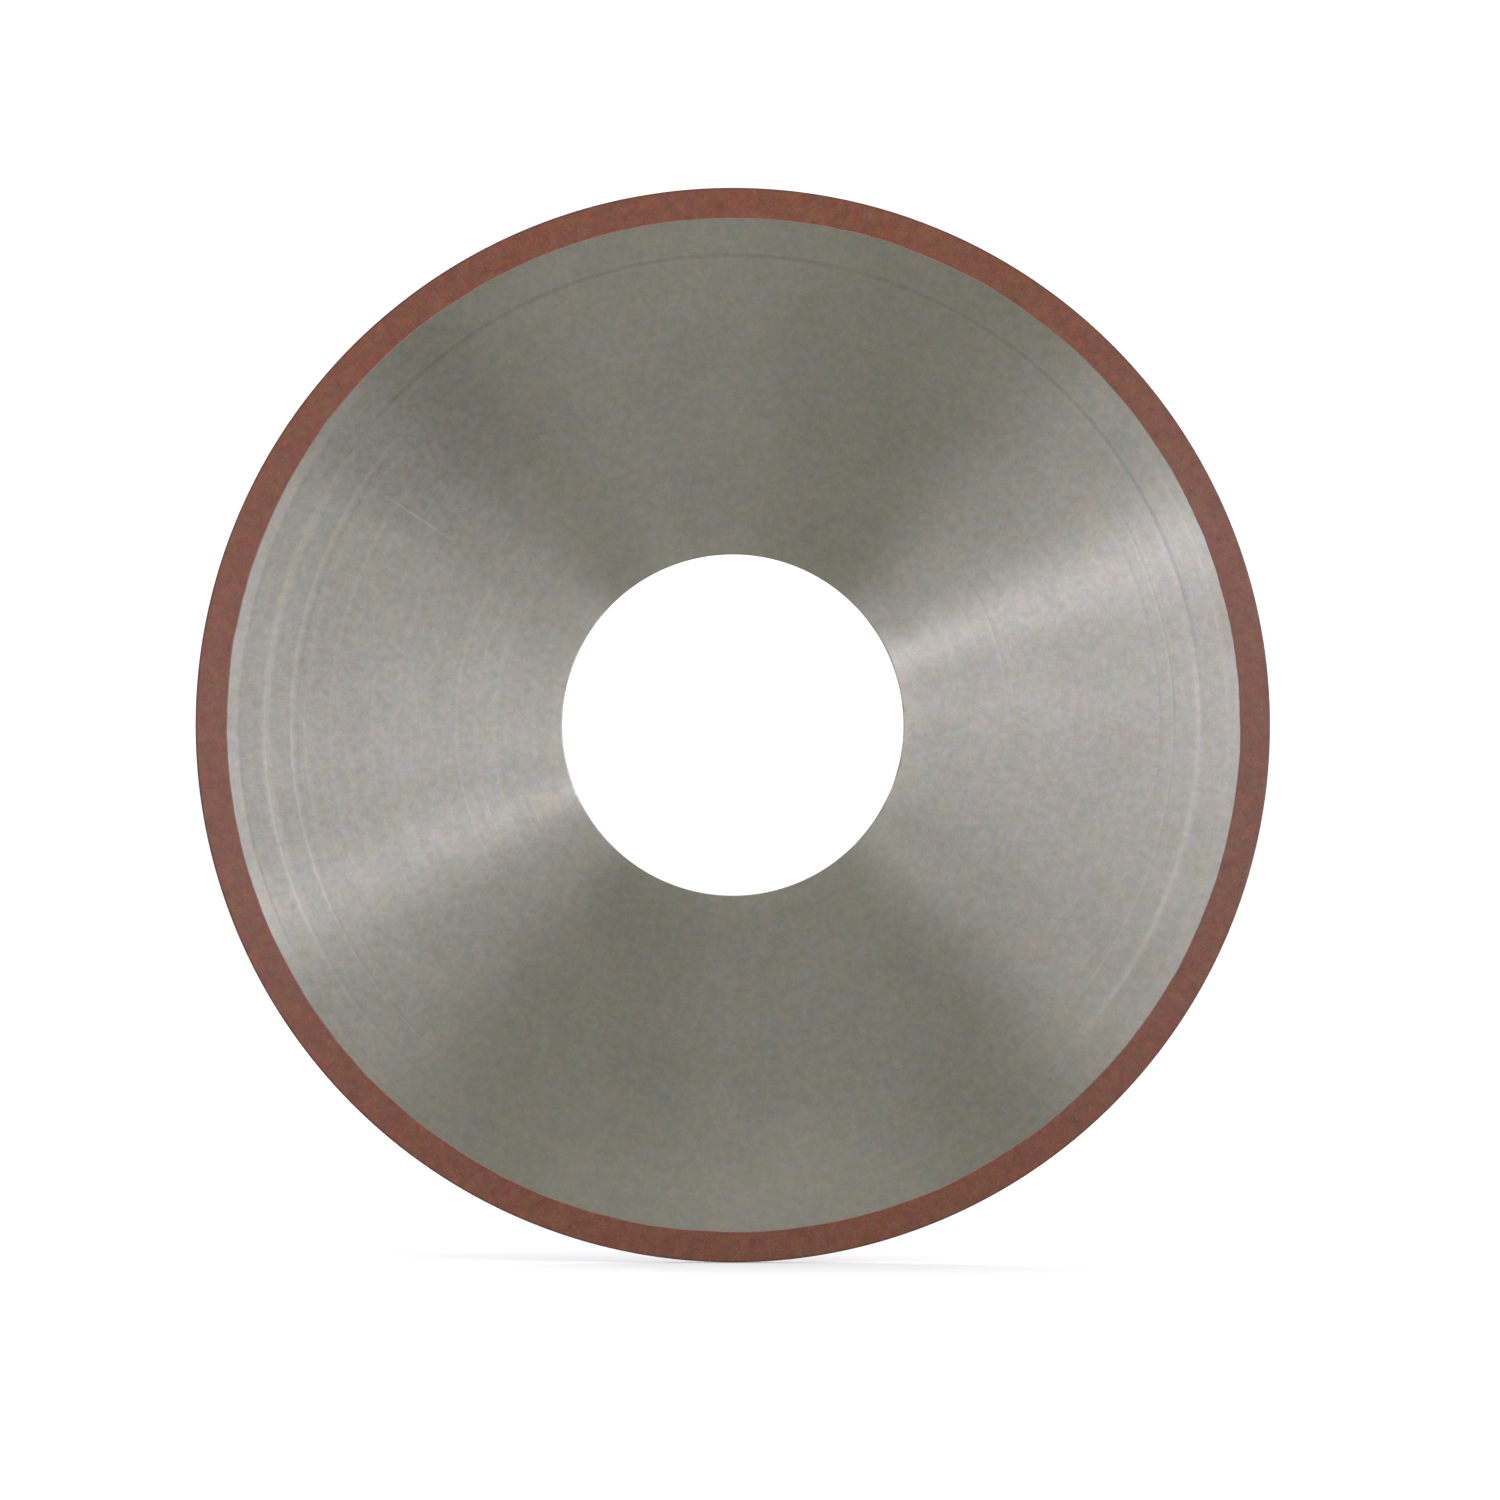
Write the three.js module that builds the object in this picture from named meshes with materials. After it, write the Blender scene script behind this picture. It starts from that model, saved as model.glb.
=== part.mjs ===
// Thin straight diamond grinding wheel: a turned steel core, a resin primer coat on its edge, and a
// resin-bond abrasive rim moulded round it.
//
// Millimetres. The wheel spins about Y, its centre is the origin, and Z is up. Every piece is a solid of
// revolution, so each is one closed outline of [radius, y] points turned about Y.

import * as THREE from "three";

// Driving dimensions
const WHEEL_DIAMETER = 100;
const BORE_DIAMETER = 31.75;
const RIM_THICKNESS = 1.2;
const CORE_THICKNESS = 1.0;

// The abrasive's depth runs from the wheel's edge to the tip of the root that keys it to the core.
const ABRASIVE_DEPTH = 3.0;

// The core's edge has a V groove. The primer coats it evenly, and the rim's root fills what is left.
const EDGE_GROOVE_DEPTH = 0.2;
const EDGE_GROOVE_HALF_WIDTH = 0.3;
const PRIMER_THICKNESS = 0.1;

// Broken edges
const BORE_CHAMFER = 0.1;
const RIM_CHAMFER = 0.15;

// A shallow line is turned in both faces of the core.
const SCRIBE_RADIUS = 43.5;
const SCRIBE_WIDTH = 0.8;
const SCRIBE_DEPTH = 0.02;

// Every outline is turned in the same steps, so that neighbours meet face to face.
const TURNED_STEPS = 144;

const wheelRadius = WHEEL_DIAMETER / 2;
const boreRadius = BORE_DIAMETER / 2;
const rimHalf = RIM_THICKNESS / 2;
const coreHalf = CORE_THICKNESS / 2;
const rimInnerRadius = wheelRadius - ABRASIVE_DEPTH + EDGE_GROOVE_DEPTH;
const coreRadius = rimInnerRadius - PRIMER_THICKNESS;

const coreSteel = new THREE.MeshStandardMaterial({ color: 0x9a978f, roughness: 0.35, metalness: 1.0 });
const plainResin = new THREE.MeshStandardMaterial({ color: 0x4a2f27, roughness: 0.5, metalness: 0.0 });
const abrasiveResin = new THREE.MeshStandardMaterial({ color: 0x7d5042, roughness: 0.85, metalness: 0.0 });

// Points that start on the +Y side (or on y = 0), followed by their mirror images on the -Y side in the
// opposite order.
function mirrored(points) {
  const images = points.filter(([, y]) => y > 0).map(([radius, y]) => [radius, -y]);
  return [...points, ...images.reverse()];
}

// The side view of the joint between core and rim, for a face at the given radius: from the surface at
// surfaceY, down the face, to the bottom of the V on y = 0.
function jointLine(faceRadius, surfaceY) {
  return [
    [faceRadius, surfaceY],
    [faceRadius, EDGE_GROOVE_HALF_WIDTH],
    [faceRadius - EDGE_GROOVE_DEPTH, 0],
  ];
}

// One piece: a closed outline turned about Y. The outline runs anticlockwise, seen with the radius to the
// right and y up, so that the solid's faces point outwards.
function turned(name, outline, material) {
  const closed = [...outline, outline[0]];
  const points = closed.map(([radius, y]) => new THREE.Vector2(radius, y));
  const mesh = new THREE.Mesh(new THREE.LatheGeometry(points, TURNED_STEPS), material);
  mesh.name = name;
  return mesh;
}

// Steel core: flat faces, each with a scribed line, broken bore edges, and the V groove round the edge.
function coreDisc() {
  const upperHalf = [
    ...jointLine(coreRadius, coreHalf).reverse(),
    [SCRIBE_RADIUS + SCRIBE_WIDTH / 2, coreHalf],
    [SCRIBE_RADIUS, coreHalf - SCRIBE_DEPTH],
    [SCRIBE_RADIUS - SCRIBE_WIDTH / 2, coreHalf],
    [boreRadius + BORE_CHAMFER, coreHalf],
    [boreRadius, coreHalf - BORE_CHAMFER],
  ];
  return turned("core_disc", mirrored(upperHalf), coreSteel);
}

// Primer coat: plain resin between the core's grooved edge and the rim, flush with the core's faces.
function bondLayer() {
  const innerSide = mirrored(jointLine(coreRadius, coreHalf));
  const outerSide = mirrored(jointLine(rimInnerRadius, coreHalf));
  return turned("bond_layer", [...innerSide, ...outerSide.reverse()], plainResin);
}

// Abrasive rim: stands a little proud of the core on both sides, with its root keyed into the groove.
function abrasiveRim() {
  const upperHalf = [
    [wheelRadius, rimHalf - RIM_CHAMFER],
    [wheelRadius - RIM_CHAMFER, rimHalf],
    ...jointLine(rimInnerRadius, rimHalf),
  ];
  return turned("abrasive_rim", mirrored(upperHalf), abrasiveResin);
}

const wheel = new THREE.Group();
wheel.add(coreDisc(), bondLayer(), abrasiveRim());

export default wheel;
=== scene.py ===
"""Diamond grinding wheel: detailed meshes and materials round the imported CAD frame.

The wheel's own sizes are in millimetres, and everything handed to Blender is in metres. +Z is up. The
wheel stands on edge with its axis on Y, and its front faces -Y. The angles in the tables below are in
degrees round the axis, anticlockwise from +X as seen from the front.
"""
import math
import random

import bpy
from mathutils import Euler, Matrix, Vector, noise

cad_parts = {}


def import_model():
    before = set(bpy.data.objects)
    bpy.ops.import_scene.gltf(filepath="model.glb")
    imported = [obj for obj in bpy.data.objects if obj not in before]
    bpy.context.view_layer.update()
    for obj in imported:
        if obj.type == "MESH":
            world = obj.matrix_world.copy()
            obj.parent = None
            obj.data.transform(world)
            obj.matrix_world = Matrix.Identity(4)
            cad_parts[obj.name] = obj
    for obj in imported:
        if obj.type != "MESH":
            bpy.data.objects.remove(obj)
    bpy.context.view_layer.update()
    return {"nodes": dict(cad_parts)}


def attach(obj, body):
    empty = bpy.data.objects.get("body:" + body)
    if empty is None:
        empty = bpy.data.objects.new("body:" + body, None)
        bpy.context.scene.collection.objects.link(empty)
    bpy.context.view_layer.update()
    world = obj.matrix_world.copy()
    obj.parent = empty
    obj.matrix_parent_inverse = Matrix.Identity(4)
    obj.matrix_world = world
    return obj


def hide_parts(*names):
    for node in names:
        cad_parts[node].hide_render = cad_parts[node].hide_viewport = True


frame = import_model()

MM = 0.001

# ------------------------------------------------------------------------------------------------
# Sizes, read from the corners of the CAD nodes' outlines
# ------------------------------------------------------------------------------------------------


def corners(node):
    """The (radius, y) corners of a turned CAD node's outline, in millimetres, smallest radius first."""
    found = set()
    for vertex in frame["nodes"][node].data.vertices:
        x, y, z = vertex.co / MM
        found.add((round(math.hypot(x, z), 3), round(y, 3)))
    return sorted(found)


core_corners = corners("core_disc")
rim_corners = corners("abrasive_rim")

BORE_RADIUS = core_corners[0][0]
CORE_HALF = max(y for radius, y in core_corners)
face_radii = [radius for radius, y in core_corners if y == CORE_HALF]
BORE_EDGE, SCRIBE_INNER, SCRIBE_OUTER, CORE_RADIUS = face_radii
SCRIBE_MIDDLE = (SCRIBE_INNER + SCRIBE_OUTER) / 2
SCRIBE_BOTTOM = max(y for radius, y in core_corners if SCRIBE_INNER < radius < SCRIBE_OUTER)
GROOVE_RADIUS = min(radius for radius, y in core_corners if y == 0)
GROOVE_HALF_WIDTH = min(y for radius, y in core_corners if radius == CORE_RADIUS and y > 0)

RIM_HALF = max(y for radius, y in rim_corners)
RIM_INNER_RADIUS, RIM_EDGE = [radius for radius, y in rim_corners if y == RIM_HALF]
WHEEL_RADIUS = rim_corners[-1][0]
RIM_EDGE_HALF = rim_corners[-1][1]

# ------------------------------------------------------------------------------------------------
# Detail that is finer than the CAD, in millimetres
# ------------------------------------------------------------------------------------------------

# The strip of core beside the rim that was skimmed when the rim was trued, and the ramp up from it
SKIM_WIDTH = 1.0
SKIM_RAMP = 0.3
SKIM_DEPTH = 0.015

# Shallow V marks that the turning tool left on both faces: radius, half width, depth, and brightening, a
# painted highlight that shows on the left
TOOL_MARKS = (
    (41.0, 0.22, 0.012, 0.10),
    (39.7, 0.30, 0.008, 0.04),
    (37.4, 0.20, 0.005, 0.05),
    (33.5, 0.20, 0.004, 0.03),
    (31.3, 0.20, 0.004, 0.03),
    (25.7, 0.20, 0.006, 0.05),
    (23.9, 0.20, 0.005, 0.05),
    (22.2, 0.25, 0.006, 0.05),
    (18.5, 0.20, 0.004, 0.03),
)

# The first and deepest mark has a line of painted shade beside it, this far from its middle.
MARK_SHADE_OFFSET = -0.53

# Sectors of the faces where the fan's highlights fall and the marks get painted highlights, and the
# upper half where the
# scribed line gets painted shade: angle, reach either side of it
LEFT = (174, 38)
LOWER_RIGHT = (343, 28)
UPPER_HALF = (85, 90)

# Brightening of the other marks, where 0.1 is a tenth brighter: painted highlights on the scribed line
# and the skimmed strip, painted shade beside the first mark and in the scribed line's upper half, and
# brightening of the outer half and round the bore
SCRIBED_ON_LEFT = 0.17
SCRIBED_ON_LOWER_RIGHT = 0.12
SKIMMED_ON_LEFT = 0.14
SKIMMED_ON_LOWER_RIGHT = 0.04
MARK_SHADE = -0.07
SCRIBE_SHADE = -0.12
OUTER_HALF = 0.04
BORE_SURROUND = 0.07

# Soft patches of painted highlight and painted shade that reshape the fan: angle, reach either side,
# inner and outer radius, brightening
PATCHES = (
    (31, 14, 16, 22, 0.08),
    (127, 24, 16, 22, 0.07),
    (137, 15, 40, 48, -0.16),
    (141, 10, 28, 36, -0.10),
    (181, 26, 39, 46, -0.07),
    (266, 34, 43, 48, 0.13),
    (300, 14, 40, 48, -0.05),
    (312, 18, 16, 20, 0.08),
    (325, 18, 43, 48, 0.06),
)
PATCH_SOFTNESS = 10.0

# A straight scratch along a radius of the front
SCRATCH_ANGLE = 146.6
SCRATCH_INNER = 30.0
SCRATCH_OUTER = 40.0
SCRATCH_HALF_WIDTH = 0.07
SCRATCH_BRIGHTENING = 0.2

# The rim was trued a little off the core's centre, so it is wider on the left than on the right.
JOINT_OFFSET = Vector((0.07, 0.0, 0.01))

# How far the joint, and the broken edges of bore and rim, wander from their circles
JOINT_WANDER = 0.05
EDGE_WANDER = 0.03

# The diamond grains stand up to GRAIN_PROTRUSION out of the resin, and reach the CAD's surface. Their
# size, how far each corner reaches and how deep they are sunk vary between two factors.
GRAIN_COUNT = 12000
GRAIN_SEED = 11
GRAIN_SIZE = 0.13
GRAIN_SIZE_FACTORS = (0.6, 1.2)
GRAIN_CORNER_FACTORS = (0.75, 1.0)
GRAIN_PROTRUSION = 0.03
GRAIN_SUNK_FACTORS = (0.0, 0.7)

# ------------------------------------------------------------------------------------------------
# Turned meshes
# ------------------------------------------------------------------------------------------------

# Steps in a whole turn. The rim has more, because its outside is the wheel's outline.
TURNED_STEPS = 720
RIM_STEPS = 1440

# Rows across the flat faces: the widest that one may be on the core, and how many there are on the rim
CORE_ROW_WIDTH = 1.0
RIM_FACE_ROWS = 9

# An edge that bends more than this is shaded as a sharp one.
SHARP_ANGLE = math.radians(1.5)

# The bake map holds each turned piece in strips, one above the other, with a margin at their sides. A
# long, thin piece has more strips, so that it isn't squeezed. The grains lie in a grid of cells, and
# reach at most CELL_REACH from the middle of a cell one unit wide.
BAKE_MAP = "OFBake"
CORE_STRIPS = 1
PRIMER_STRIPS = 8
RIM_STRIPS = 6
STRIP_MARGIN = 0.02
CELL_REACH = 0.4


def mirrored(points):
    """Points on the +Y side (or on y = 0), then their images on the -Y side in the opposite order."""
    images = [(radius, -y) for radius, y in points if y > 0]
    return points + images[::-1]


def rows(start, end, count):
    """Evenly spaced points after start, up to and including end."""
    (r0, y0), (r1, y1) = start, end
    return [(r0 + (r1 - r0) * k / count, y0 + (y1 - y0) * k / count) for k in range(1, count + 1)]


def new_piece(name, vertices, faces):
    """A piece from vertices in millimetres."""
    mesh = bpy.data.meshes.new(name)
    mesh.from_pydata([Vector(vertex) * MM for vertex in vertices], [], faces)
    piece = bpy.data.objects.new(name, mesh)
    bpy.context.scene.collection.objects.link(piece)
    return piece


def turned_piece(name, outline, steps, strips, push):
    """Turns a closed outline of (radius, y) points about Y, and unrolls it into strips of the bake map.

    The outline runs anticlockwise, seen with the radius to the right and y up. push(radius, y, angle) is
    how far a point lies outside its circle, for edges that are not quite round.
    """
    count = len(outline)
    vertices = []
    for step in range(steps):
        angle = 2 * math.pi * step / steps
        for radius, y in outline:
            reach = radius + push(radius, y, angle)
            vertices.append((reach * math.cos(angle), y, reach * math.sin(angle)))
    faces = []
    for step in range(steps):
        here = step * count
        there = (step + 1) % steps * count
        for i in range(count):
            j = (i + 1) % count
            faces.append((here + i, here + j, there + j, there + i))
    piece = new_piece(name, vertices, faces)

    lengths = [0.0]
    for (r0, y0), (r1, y1) in zip(outline, outline[1:] + outline[:1]):
        lengths.append(lengths[-1] + math.hypot(r1 - r0, y1 - y0))
    across = [STRIP_MARGIN + (1 - 2 * STRIP_MARGIN) * length / lengths[-1] for length in lengths]
    uv = piece.data.uv_layers.new(name=BAKE_MAP).data
    loop = 0
    for step in range(steps):
        strip = step * strips // steps
        start = step * strips / steps - strip
        end = start + strips / steps
        for i in range(count):
            low = (strip + across[i]) / strips
            high = (strip + across[i + 1]) / strips
            for corner in ((start, low), (start, high), (end, high), (end, low)):
                uv[loop].uv = corner
                loop += 1
    piece.data.shade_smooth()
    piece.data.set_sharp_from_angle(angle=SHARP_ANGLE)
    return piece


def wander(angle, waves, seed):
    """A smooth random value, about -1 to 1, that closes on itself after a whole turn."""
    return 2 * noise.noise(Vector((math.cos(angle), math.sin(angle), 0)) * waves + Vector((0, 0, seed)))


def joint_push(y, angle):
    """How far the joint between core and rim lies outside its circle: off centre and slightly ragged."""
    side = 10 if y > 0 else 0
    long_waves = wander(angle, waves=9, seed=side)
    short_waves = wander(angle, waves=31, seed=side)
    ragged = 0.6 * long_waves + 0.4 * short_waves
    return Vector((math.cos(angle), 0, math.sin(angle))).dot(JOINT_OFFSET) + ragged * JOINT_WANDER


def core_push(radius, y, angle):
    """The skimmed strip and the edge follow the joint, and the bore's broken edge is uneven."""
    if radius > SCRIBE_OUTER:
        return joint_push(y, angle)
    if radius == BORE_EDGE:
        return EDGE_WANDER * wander(angle, waves=12, seed=y)
    return 0.0


def primer_push(radius, y, angle):
    """The whole primer coat follows the joint."""
    return joint_push(y, angle)


def rim_push(radius, y, angle):
    """The rim's inner side follows the joint, its outside is round, and its edge is a little chipped."""
    if radius <= RIM_INNER_RADIUS:
        return joint_push(y, angle)
    if radius == RIM_EDGE:
        return -EDGE_WANDER * (1 + wander(angle, waves=40, seed=y))
    return 0.0


def face_rows(start, end):
    """Rows of the core's flat face after start, inwards to end, none wider than CORE_ROW_WIDTH."""
    return rows(start, end, math.ceil((start[0] - end[0]) / CORE_ROW_WIDTH))


def v_mark(radius, half_width, depth):
    """A shallow V in the core's face, from its outer lip to its inner lip."""
    outer_lip = (radius + half_width, CORE_HALF)
    inner_lip = (radius - half_width, CORE_HALF)
    return [outer_lip, (radius, CORE_HALF - depth), inner_lip]


def core_piece():
    """Steel core: V groove in its edge, skimmed strip, scribed line, tool marks and broken bore edge."""
    skimmed = CORE_HALF - SKIM_DEPTH
    points = [
        (GROOVE_RADIUS, 0.0),
        (CORE_RADIUS, GROOVE_HALF_WIDTH),
        (CORE_RADIUS, skimmed),
        (CORE_RADIUS - SKIM_WIDTH, skimmed),
        (CORE_RADIUS - SKIM_WIDTH - SKIM_RAMP, CORE_HALF),
        (SCRIBE_OUTER, CORE_HALF),
        (SCRIBE_MIDDLE, SCRIBE_BOTTOM),
        (SCRIBE_INNER, CORE_HALF),
    ]
    for radius, half_width, depth, brightening in TOOL_MARKS:
        mark = v_mark(radius, half_width, depth)
        points += face_rows(points[-1], mark[0]) + mark[1:]
    points += face_rows(points[-1], (BORE_EDGE, CORE_HALF))
    points += [(BORE_RADIUS, CORE_HALF - (BORE_EDGE - BORE_RADIUS))]
    return turned_piece("core", mirrored(points), TURNED_STEPS, CORE_STRIPS, core_push)


def joint_line(face_radius, surface):
    """One side of the joint, from the surface down to the bottom of the V on y = 0."""
    bottom = face_radius - CORE_RADIUS + GROOVE_RADIUS
    return [(face_radius, surface), (face_radius, GROOVE_HALF_WIDTH), (bottom, 0.0)]


def primer_piece():
    """Primer coat between core and rim, flush with the skimmed strip."""
    surface = CORE_HALF - SKIM_DEPTH
    inner = mirrored(joint_line(CORE_RADIUS, surface))
    outer = mirrored(joint_line(RIM_INNER_RADIUS, surface))
    return turned_piece("primer_coat", inner + outer[::-1], TURNED_STEPS, PRIMER_STRIPS, primer_push)


def rim_piece():
    """Resin of the rim, its surface below the CAD's by the height of the grains."""
    face = RIM_HALF - GRAIN_PROTRUSION
    outside = WHEEL_RADIUS - GRAIN_PROTRUSION
    points = [(outside, 0.0), (outside, RIM_EDGE_HALF), (RIM_EDGE, face)]
    points += rows(points[-1], (RIM_INNER_RADIUS, face), RIM_FACE_ROWS)
    points += joint_line(RIM_INNER_RADIUS, face)[1:]
    return turned_piece("rim", mirrored(points), RIM_STEPS, RIM_STRIPS, rim_push)


# ------------------------------------------------------------------------------------------------
# Diamond grains
# ------------------------------------------------------------------------------------------------

# A ring of four corners, then the upper and the lower tip, with four faces to each
RING = ((1, 0, 0), (0, 1, 0), (-1, 0, 0), (0, -1, 0))
OCTAHEDRON = [Vector(corner) for corner in (*RING, (0, 0, 1), (0, 0, -1))]
UPPER_FACES = [(i, (i + 1) % 4, 4) for i in range(4)]
LOWER_FACES = [((i + 1) % 4, i, 5) for i in range(4)]


def grain_site(pick):
    """A random (point, outward direction) on the resin's two faces and its outside."""
    face_area = math.pi * (RIM_EDGE**2 - RIM_INNER_RADIUS**2)
    outside_area = 4 * math.pi * WHEEL_RADIUS * RIM_EDGE_HALF
    angle = pick.uniform(0, 2 * math.pi)
    around = Vector((math.cos(angle), 0, math.sin(angle)))
    if pick.uniform(0, 2 * face_area + outside_area) < outside_area:
        height = pick.uniform(-RIM_EDGE_HALF, RIM_EDGE_HALF)
        return around * WHEEL_RADIUS + Vector((0, height, 0)), around
    side = pick.choice((-1, 1))
    inner = RIM_INNER_RADIUS + around.dot(JOINT_OFFSET) + GRAIN_SIZE
    radius = math.sqrt(pick.uniform(inner**2, RIM_EDGE**2))
    return around * radius + Vector((0, side * RIM_HALF, 0)), Vector((0, side, 0))


def grains_piece():
    """Blocky eight-sided crystals that stand out of the resin, each in its own cell of the bake map."""
    pick = random.Random(GRAIN_SEED)
    cells_across = math.ceil(math.sqrt(GRAIN_COUNT))
    vertices = []
    faces = []
    places = []
    for grain in range(GRAIN_COUNT):
        site, outward = grain_site(pick)
        turn = Euler([pick.uniform(0, 2 * math.pi) for axis in range(3)])
        size = GRAIN_SIZE / 2 * pick.uniform(*GRAIN_SIZE_FACTORS)
        shape = [corner * size * pick.uniform(*GRAIN_CORNER_FACTORS) for corner in OCTAHEDRON]
        for corner in shape:
            corner.rotate(turn)
        top = max(corner.dot(outward) for corner in shape)
        sunk = GRAIN_PROTRUSION * pick.uniform(*GRAIN_SUNK_FACTORS)
        centre = site - outward * (top + sunk)
        first = len(vertices)
        vertices += [centre + corner for corner in shape]
        faces += [tuple(first + i for i in face) for face in UPPER_FACES + LOWER_FACES]
        row, column = divmod(grain, cells_across)
        across = outward.orthogonal().normalized()
        along = outward.cross(across)
        for corner in shape:
            u = column + 0.5 + CELL_REACH * corner.dot(across) / size
            v = row + 0.5 + CELL_REACH * corner.dot(along) / size
            places.append((u / cells_across, v / cells_across))
    piece = new_piece("diamond_grains", vertices, faces)
    uv = piece.data.uv_layers.new(name=BAKE_MAP).data
    for loop in piece.data.loops:
        uv[loop.index].uv = places[loop.vertex_index]
    return piece


# ------------------------------------------------------------------------------------------------
# Materials
# ------------------------------------------------------------------------------------------------

# Noise from elsewhere looks unrelated, so each colour channel and each face has its own place in it.
CHANNEL_SHIFT = 50.0
FACE_SHIFT = 5.0


class Nodes:
    """Short forms for building one material's node tree."""

    def __init__(self, name):
        self.material = bpy.data.materials.new(name)
        self.material.use_nodes = True
        self.tree = self.material.node_tree
        self.shader = self.tree.nodes["Principled BSDF"]

    def add(self, kind, **settings):
        node = self.tree.nodes.new(kind)
        for key, value in settings.items():
            setattr(node, key, value)
        return node

    def link(self, source, target):
        self.tree.links.new(source, target)

    def feed(self, node, values):
        """Links or sets a node's inputs, in order."""
        for socket, value in zip(node.inputs, values):
            if isinstance(value, bpy.types.NodeSocket):
                self.link(value, socket)
            else:
                socket.default_value = value

    def math(self, operation, *values, clamp=False):
        node = self.add("ShaderNodeMath", operation=operation, use_clamp=clamp)
        self.feed(node, values)
        return node.outputs[0]

    def total(self, *values):
        """The sum of any number of values."""
        result = values[0]
        for value in values[1:]:
            result = self.math("ADD", result, value)
        return result

    def product(self, *values):
        """The product of any number of values."""
        result = values[0]
        for value in values[1:]:
            result = self.math("MULTIPLY", result, value)
        return result

    def place(self):
        """The point on the object, in millimetres."""
        coordinates = self.add("ShaderNodeTexCoord")
        scaled = self.add("ShaderNodeVectorMath", operation="SCALE")
        scaled.inputs["Scale"].default_value = 1 / MM
        self.link(coordinates.outputs["Object"], scaled.inputs[0])
        return scaled.outputs[0]

    def moved(self, vector, offset):
        node = self.add("ShaderNodeVectorMath", operation="SUBTRACT")
        self.feed(node, (vector, offset))
        return node.outputs[0]

    def split(self, vector):
        node = self.add("ShaderNodeSeparateXYZ")
        self.link(vector, node.inputs[0])
        return node.outputs

    def joined(self, x, y, z):
        node = self.add("ShaderNodeCombineXYZ")
        self.feed(node, (x, y, z))
        return node.outputs[0]

    def radius(self, place):
        """Distance from the wheel's axis."""
        x, y, z = self.split(place)
        return self.math("SQRT", self.total(self.product(x, x), self.product(z, z)))

    def noise(self, vector, scale, detail=2.0, roughness=0.5):
        node = self.add("ShaderNodeTexNoise")
        node.inputs["Scale"].default_value = scale
        node.inputs["Detail"].default_value = detail
        node.inputs["Roughness"].default_value = roughness
        self.link(vector, node.inputs["Vector"])
        return node.outputs["Fac"]

    def swing(self, fac, size):
        """A noise value, from 0 to 1, moved to swing about zero and scaled to a size."""
        return self.product(self.math("SUBTRACT", fac, 0.5), size)

    def near(self, value, centre, half_width, softness):
        """1 within half_width of centre, and 0 from softness further out."""
        distance = self.math("ABSOLUTE", self.math("SUBTRACT", value, centre))
        past = self.math("DIVIDE", self.math("SUBTRACT", distance, half_width), softness)
        return self.math("SUBTRACT", 1.0, past, clamp=True)

    def ramp(self, fac, stops):
        node = self.add("ShaderNodeValToRGB")
        elements = node.color_ramp.elements
        while len(elements) < len(stops):
            elements.new(0.5)
        for element, (position, colour) in zip(elements, stops):
            element.position = position
            element.color = (*colour, 1.0)
        self.link(fac, node.inputs["Fac"])
        return node.outputs["Color"]

    def tinted(self, place, colour, scale, swings):
        """A colour whose red, green and blue swing about their values, in soft patches of their own."""
        parts = []
        for channel, (value, size) in enumerate(zip(colour, swings)):
            elsewhere = self.moved(place, (0.0, 0.0, CHANNEL_SHIFT * channel))
            tint = self.swing(self.noise(elsewhere, scale, detail=2.0), size)
            parts.append(self.product(self.total(1.0, tint), value))
        return self.joined(*parts)

    def dimmed(self, colour, factor):
        """A colour times a number."""
        node = self.add("ShaderNodeVectorMath", operation="SCALE")
        self.link(colour, node.inputs[0])
        self.link(factor, node.inputs["Scale"])
        return node.outputs[0]

    def turned_grain(self, strength):
        """Stretches highlights across the lines that turning leaves round the axis."""
        quarter_turn = 0.25
        self.shader.inputs["Anisotropic"].default_value = strength
        self.shader.inputs["Anisotropic Rotation"].default_value = quarter_turn
        tangent = self.add("ShaderNodeTangent", direction_type="RADIAL", axis="Y")
        self.link(tangent.outputs[0], self.shader.inputs["Tangent"])

    def surface(self, colour, roughness):
        self.link(colour, self.shader.inputs["Base Color"])
        self.link(roughness, self.shader.inputs["Roughness"])

    def bump(self, height, distance):
        """Relief that stands as high as a height value times a distance in metres."""
        node = self.add("ShaderNodeBump")
        node.inputs["Distance"].default_value = distance
        self.link(height, node.inputs["Height"])
        self.link(node.outputs["Normal"], self.shader.inputs["Normal"])


def arcs(nodes, place, lines_per_mm, circle):
    """A vector whose noise makes lines round the axis, that fade in and out along the turn.

    In one turn round the axis the vector goes once round a circle in the noise. circle is that circle's
    radius, and a larger circle makes shorter lines.
    """
    radius = nodes.radius(place)
    x, y, z = nodes.split(place)
    across = nodes.product(radius, lines_per_mm)
    side = nodes.product(nodes.math("SIGN", y), FACE_SHIFT)
    cosine = nodes.product(nodes.math("DIVIDE", x, radius), circle)
    sine = nodes.product(nodes.math("DIVIDE", z, radius), circle)
    return nodes.joined(nodes.total(across, side), cosine, sine)


def scratch(nodes, place):
    """1 in the middle of the front face's scratch, fading to its sides and to just past its ends."""
    x, y, z = nodes.split(place)
    cosine = math.cos(math.radians(SCRATCH_ANGLE))
    sine = math.sin(math.radians(SCRATCH_ANGLE))
    along = nodes.total(nodes.product(x, cosine), nodes.product(z, sine))
    off = nodes.math("SUBTRACT", nodes.product(z, cosine), nodes.product(x, sine))
    line = nodes.near(off, 0.0, SCRATCH_HALF_WIDTH, SCRATCH_HALF_WIDTH)
    middle = (SCRATCH_INNER + SCRATCH_OUTER) / 2
    length = nodes.near(along, middle, half_width=1.0, softness=SCRATCH_OUTER - middle)
    front = nodes.math("LESS_THAN", y, 0.0)
    return nodes.product(line, length, front)


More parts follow.
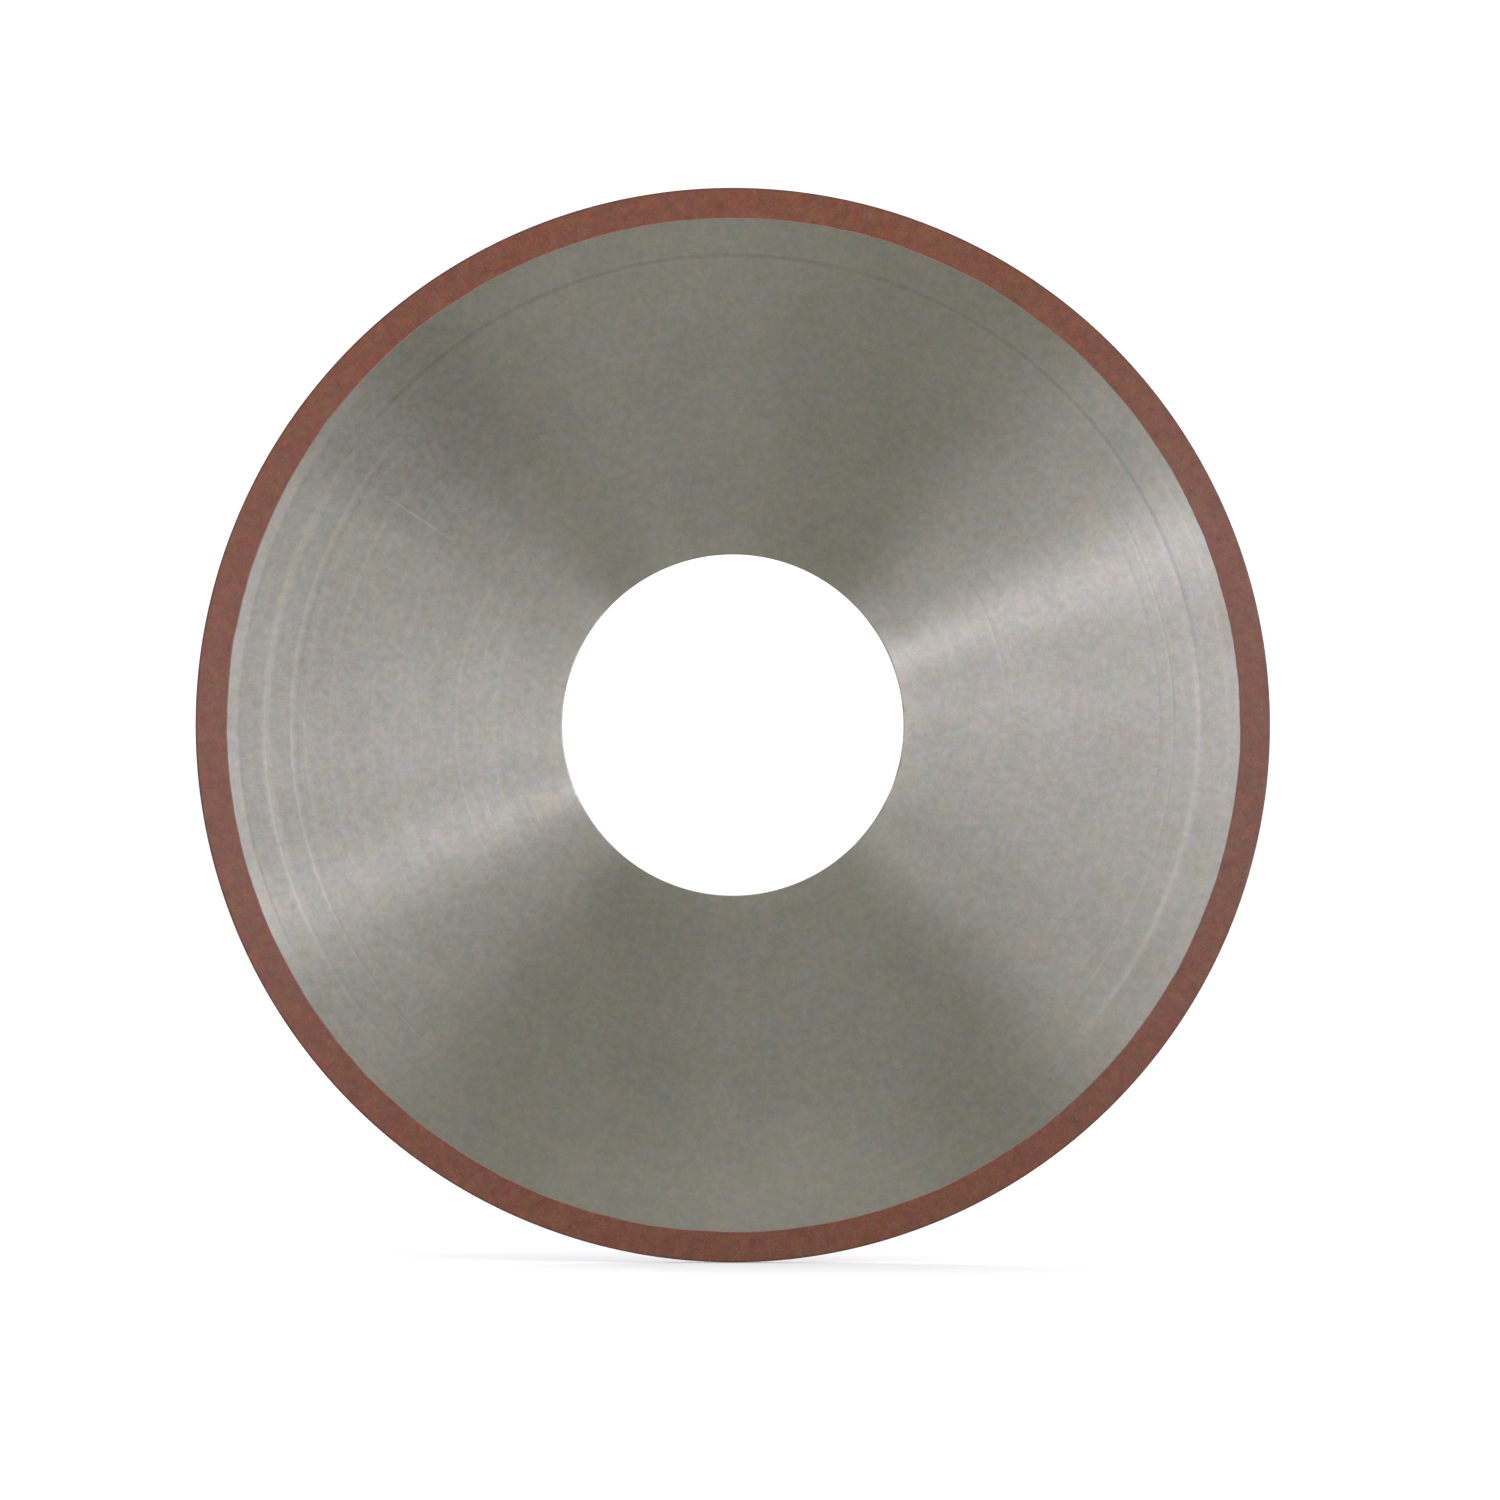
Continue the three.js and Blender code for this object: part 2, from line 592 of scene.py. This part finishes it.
def towards(nodes, place, angle, reach):
    """1 up to half the reach from an angle round the axis, fading to 0 at the reach."""
    x, y, z = nodes.split(place)
    across = nodes.product(x, math.cos(math.radians(angle)))
    upwards = nodes.product(z, math.sin(math.radians(angle)))
    facing = nodes.math("DIVIDE", nodes.total(across, upwards), nodes.radius(place))
    none = math.cos(math.radians(reach))
    full = math.cos(math.radians(reach / 2))
    return nodes.math("DIVIDE", nodes.math("SUBTRACT", facing, none), full - none, clamp=True)


def turned_marks(nodes, place):
    """Painted highlights and shade on the scribed line, tool marks and skimmed strip, and brightening
    of the outer half and bore surround.

    The painted highlights fall on the left and the lower right, where the fan's highlights are. The
    single marks get theirs only on the left, with a line of painted shade beside the first. The scribed
    line's painted highlight lies a little inside its middle, and painted shade lies against its outer
    wall in the wheel's upper half.
    """
    radius = nodes.radius(place)
    joint_radius = nodes.radius(nodes.moved(place, JOINT_OFFSET))
    # Painted highlight on the scribed line, in the lit sectors
    scribed = nodes.near(radius, SCRIBE_MIDDLE - 0.08, half_width=0.15, softness=0.4)
    # Painted shade against the scribed line's outer wall, in the wheel's upper half
    scribe_shade = nodes.near(radius, SCRIBE_MIDDLE + 0.2, half_width=0.05, softness=0.2)
    # Painted shade beside the first tool mark, on the left
    mark_shade = nodes.near(radius, TOOL_MARKS[0][0] + MARK_SHADE_OFFSET, half_width=0.05, softness=0.15)
    skimmed = nodes.near(joint_radius, CORE_RADIUS - SKIM_WIDTH / 2, half_width=0.4, softness=0.3)
    outer_half = nodes.near(radius, CORE_RADIUS, half_width=4.0, softness=8.0)
    bore_surround = nodes.near(radius, BORE_RADIUS, half_width=0.3, softness=2.0)
    # Painted highlights on the tool marks, shown only in the lit sector on the left
    marks = [
        nodes.product(nodes.near(radius, middle, half_width / 2, softness=half_width), brightening)
        for middle, half_width, depth, brightening in TOOL_MARKS
    ]
    # Painted highlights and painted shade in the lit sector on the left
    on_left = nodes.total(
        nodes.product(scribed, SCRIBED_ON_LEFT),
        nodes.product(skimmed, SKIMMED_ON_LEFT),
        nodes.product(mark_shade, MARK_SHADE),
        *marks,
    )
    # Painted highlights in the lit sector on the lower right
    on_lower_right = nodes.total(
        nodes.product(scribed, SCRIBED_ON_LOWER_RIGHT),
        nodes.product(skimmed, SKIMMED_ON_LOWER_RIGHT),
    )
    return nodes.total(
        nodes.product(on_left, towards(nodes, place, *LEFT)),
        nodes.product(on_lower_right, towards(nodes, place, *LOWER_RIGHT)),
        # Painted shade in the scribed line's upper half
        nodes.product(scribe_shade, towards(nodes, place, *UPPER_HALF), SCRIBE_SHADE),
        nodes.product(outer_half, OUTER_HALF),
        nodes.product(bore_surround, BORE_SURROUND),
    )


def patches(nodes, place):
    """Brightening of the soft patches of painted highlight and painted shade."""
    radius = nodes.radius(place)
    parts = []
    for angle, reach, inner, outer, brightening in PATCHES:
        # Painted highlight where the brightening is above zero, painted shade where it is below
        band = nodes.near(radius, (inner + outer) / 2, (outer - inner) / 2, PATCH_SOFTNESS)
        parts.append(nodes.product(band, towards(nodes, place, angle, reach), brightening))
    return nodes.total(*parts)


def steel():
    """Turned steel: lines round the axis that pull highlights into a fan, speckle and olive tarnish."""
    nodes = Nodes("turned_steel")
    place = nodes.place()
    fine_arcs = arcs(nodes, place, lines_per_mm=7.0, circle=1.5)
    wide_arcs = arcs(nodes, place, lines_per_mm=1.6, circle=0.9)
    fine_lines = nodes.noise(fine_arcs, scale=1.0, detail=2.0, roughness=0.6)
    wide_lines = nodes.noise(wide_arcs, scale=1.0, detail=2.0)
    speckle = nodes.noise(place, scale=6.0, detail=1.0)
    grain = nodes.noise(place, scale=1.4, detail=4.0, roughness=0.6)
    clouds = nodes.noise(place, scale=0.12, detail=2.0)

    tone = nodes.total(
        1.0,
        nodes.swing(speckle, 0.25),
        nodes.swing(grain, 0.5),
        nodes.swing(wide_lines, 0.13),
        nodes.swing(clouds, 0.20),
        # Painted highlights and painted shade on the marks and in the patches
        turned_marks(nodes, place),
        patches(nodes, place),
        nodes.product(scratch(nodes, place), SCRATCH_BRIGHTENING),
    )
    tarnish = nodes.tinted(place, colour=(0.45, 0.445, 0.40), scale=0.9, swings=(0.27, 0.0, 0.34))
    roughness = nodes.total(0.42, nodes.swing(wide_lines, 0.06), nodes.swing(grain, 0.06))
    nodes.surface(nodes.dimmed(tarnish, tone), roughness)
    nodes.shader.inputs["Metallic"].default_value = 1.0
    nodes.turned_grain(1.0)
    nodes.bump(nodes.total(fine_lines, nodes.product(wide_lines, 4.0)), 0.004 * MM)
    return nodes.material


def primer():
    """Plain resin, grey-brown and mottled."""
    nodes = Nodes("primer_resin")
    place = nodes.place()
    grain = nodes.noise(place, scale=4.0, detail=3.0)
    colour = nodes.tinted(place, colour=(0.21, 0.115, 0.09), scale=1.0, swings=(0.4, 0.3, 0.3))
    tone = nodes.total(1.0, nodes.swing(grain, 0.5))
    nodes.surface(nodes.dimmed(colour, tone), nodes.total(0.5, nodes.swing(grain, 0.4)))
    nodes.bump(grain, 0.01 * MM)
    return nodes.material


def rim_tone(nodes, place):
    """Brightness of the rim: mottled, darker along its edge and low down, and lighter on the left than
    on the right as a painted sheen.
    """
    outer_edge = nodes.near(nodes.radius(place), WHEEL_RADIUS, half_width=0.1, softness=0.15)
    fine_mottle = nodes.noise(place, scale=4.5, detail=2.0, roughness=0.6)
    wide_mottle = nodes.noise(place, scale=1.2, detail=2.0)
    x, y, z = nodes.split(place)
    return nodes.total(
        1.0,
        nodes.swing(fine_mottle, 0.85),
        nodes.swing(wide_mottle, 0.5),
        nodes.product(z, 0.07 / WHEEL_RADIUS),
        # Painted sheen: lighter on the left, darker on the right
        nodes.product(x, -0.05 / WHEEL_RADIUS),
        nodes.product(outer_edge, -0.3),
    )


def abrasive():
    """Cured resin with fine filler: mottled from orange brown to plum brown, with faint turned lines."""
    nodes = Nodes("abrasive_resin")
    place = nodes.place()
    filler = nodes.noise(place, scale=9.0, detail=3.0, roughness=0.7)
    colour = nodes.tinted(place, colour=(0.118, 0.033, 0.0135), scale=1.1, swings=(0.6, 1.15, 1.9))
    roughness = nodes.total(0.5, nodes.swing(filler, 0.2))
    nodes.surface(nodes.dimmed(colour, rim_tone(nodes, place)), roughness)
    nodes.shader.inputs["IOR"].default_value = 1.65
    nodes.turned_grain(0.85)
    nodes.bump(filler, 0.01 * MM)
    return nodes.material


def diamond():
    """Grains with a film of resin over them: from darker than the resin to paler, and glossier."""
    nodes = Nodes("resin_coated_diamond")
    place = nodes.place()
    variety = nodes.noise(place, scale=7.0, detail=1.0)
    colour = nodes.ramp(variety, [
        (0.30, (0.070, 0.030, 0.020)),
        (0.50, (0.150, 0.062, 0.040)),
        (0.70, (0.260, 0.160, 0.100)),
    ])
    roughness = nodes.total(0.4, nodes.swing(variety, 0.3))
    nodes.surface(nodes.dimmed(colour, rim_tone(nodes, place)), roughness)
    nodes.shader.inputs["IOR"].default_value = 1.7
    nodes.bump(nodes.noise(place, scale=25.0, detail=2.0), 0.004 * MM)
    return nodes.material


# ------------------------------------------------------------------------------------------------
# The studio: floor, world, lights and camera
# ------------------------------------------------------------------------------------------------

WHEEL_WIDTH = 2 * WHEEL_RADIUS * MM

# In millimetres, and so wide that its edge is never near
FLOOR_WIDTH = 60000.0

# What surrounds the wheel: white light on matt surfaces, and a dimmer, olive room in reflections
TENT_COLOUR = (1.15, 1.15, 1.15, 1.0)
REFLECTED_COLOUR = (0.463, 0.453, 0.407, 1.0)


def floor():
    """A pale table that the lower lamps shine through, and that the steel doesn't mirror."""
    level = -WHEEL_RADIUS
    half = FLOOR_WIDTH / 2
    places = [(-half, -half, level), (half, -half, level), (half, half, level), (-half, half, level)]
    piece = new_piece("floor", places, [(0, 1, 2, 3)])
    nodes = Nodes("pale_floor")
    nodes.shader.inputs["Base Color"].default_value = (0.9, 0.9, 0.9, 1.0)
    nodes.shader.inputs["Roughness"].default_value = 0.9
    nodes.shader.inputs["Specular IOR Level"].default_value = 0.0
    piece.data.materials.append(nodes.material)
    piece.visible_glossy = False
    piece.visible_shadow = False


def world():
    """A white tent to the eye and to matt surfaces, and a dim studio to glossy ones."""
    studio = bpy.data.worlds.new("studio")
    bpy.context.scene.world = studio
    studio.use_nodes = True
    studio.cycles.sampling_method = "NONE"
    tree = studio.node_tree
    background = tree.nodes["Background"]
    path = tree.nodes.new("ShaderNodeLightPath")
    mix = tree.nodes.new("ShaderNodeMix")
    mix.data_type = "RGBA"
    mix.inputs["A"].default_value = TENT_COLOUR
    mix.inputs["B"].default_value = REFLECTED_COLOUR
    tree.links.new(path.outputs["Is Glossy Ray"], mix.inputs["Factor"])
    tree.links.new(mix.outputs["Result"], background.inputs["Color"])


# The softboxes' distance in metres, then in degrees their angle off the axis and the height they span
LIGHT_DISTANCE = 1.2
LIGHT_TILT = 50
LIGHT_HEIGHT = 24
LIGHT_COLOUR = (1.0, 0.95, 1.10)

# Softboxes round the wheel: azimuth, width, power in watts. A bank on the right runs from below the
# table up to a bright strip, with weaker ones above it, overhead and on the left.
SOFTBOXES = (
    (324, 14, 1.0),
    (338, 12, 1.1),
    (350, 14, 1.3),
    (4, 8, 1.5),
    (13, 10, 1.0),
    (22, 5, 2.1),
    (36, 22, 1.15),
    (100, 40, 0.7),
    (174, 12, 0.55),
)


def softbox(azimuth, width, power, side):
    """An area light aimed at the wheel, in front of it (side -1) or behind it (side 1).

    azimuth goes round the axis from +X, or from -X for a light behind the wheel, so that the wheel looks
    the same from both sides. width is the angle that the light spans round the axis.
    """
    around = math.radians(azimuth)
    off = math.radians(LIGHT_TILT)
    name = f"softbox_{azimuth}_{'front' if side < 0 else 'back'}"
    light = bpy.data.lights.new(name, "AREA")
    light.shape = "RECTANGLE"
    light.size = LIGHT_DISTANCE * math.sin(off) * math.radians(width)
    light.size_y = LIGHT_DISTANCE * math.radians(LIGHT_HEIGHT)
    light.energy = power
    light.color = LIGHT_COLOUR
    outward = Vector((-side * math.cos(around), 0.0, math.sin(around)))
    direction = outward * math.sin(off) + Vector((0.0, side * math.cos(off), 0.0))
    sideways = Vector((side * math.sin(around), 0.0, math.cos(around)))
    axes = Matrix((sideways, direction.cross(sideways), direction)).transposed().to_4x4()
    lamp = bpy.data.objects.new(name, light)
    lamp.matrix_world = Matrix.Translation(direction * LIGHT_DISTANCE) @ axes
    lamp.visible_camera = False
    bpy.context.scene.collection.objects.link(lamp)


def lights():
    """The same softboxes in front of the wheel and behind it."""
    for side in (-1, 1):
        for azimuth, width, power in SOFTBOXES:
            softbox(azimuth, width, power, side)


# The picture's width, and how far its middle lies right of and below the wheel's, in wheel widths
PICTURE_WIDTH = 1.3956
PICTURE_RIGHT = 0.016
PICTURE_BELOW = 0.0232


def camera():
    """Looks square at the wheel's front, with the wheel up and left of the picture's middle."""
    data = bpy.data.cameras.new("camera")
    data.sensor_width = 36.0
    data.lens = 300.0
    frame_width = PICTURE_WIDTH * WHEEL_WIDTH
    distance = frame_width * data.lens / data.sensor_width
    eye = bpy.data.objects.new("camera", data)
    eye.location = (PICTURE_RIGHT * WHEEL_WIDTH, -distance, -PICTURE_BELOW * WHEEL_WIDTH)
    eye.rotation_euler = (math.pi / 2, 0.0, 0.0)
    data.clip_start = 0.01
    data.clip_end = 100.0
    bpy.context.scene.collection.objects.link(eye)
    bpy.context.scene.camera = eye
    bpy.context.scene.view_settings.view_transform = "Standard"


# ------------------------------------------------------------------------------------------------
# Putting it together
# ------------------------------------------------------------------------------------------------

camera()
world()
lights()
floor()

for piece, node, slot, material in (
    (core_piece(), "core_disc", "core_steel", steel()),
    (primer_piece(), "bond_layer", "primer_resin", primer()),
    (rim_piece(), "abrasive_rim", "abrasive_resin", abrasive()),
    (grains_piece(), "abrasive_rim", "abrasive_resin", diamond()),
):
    piece.data.materials.append(material)
    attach(piece, "root")
    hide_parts(node)
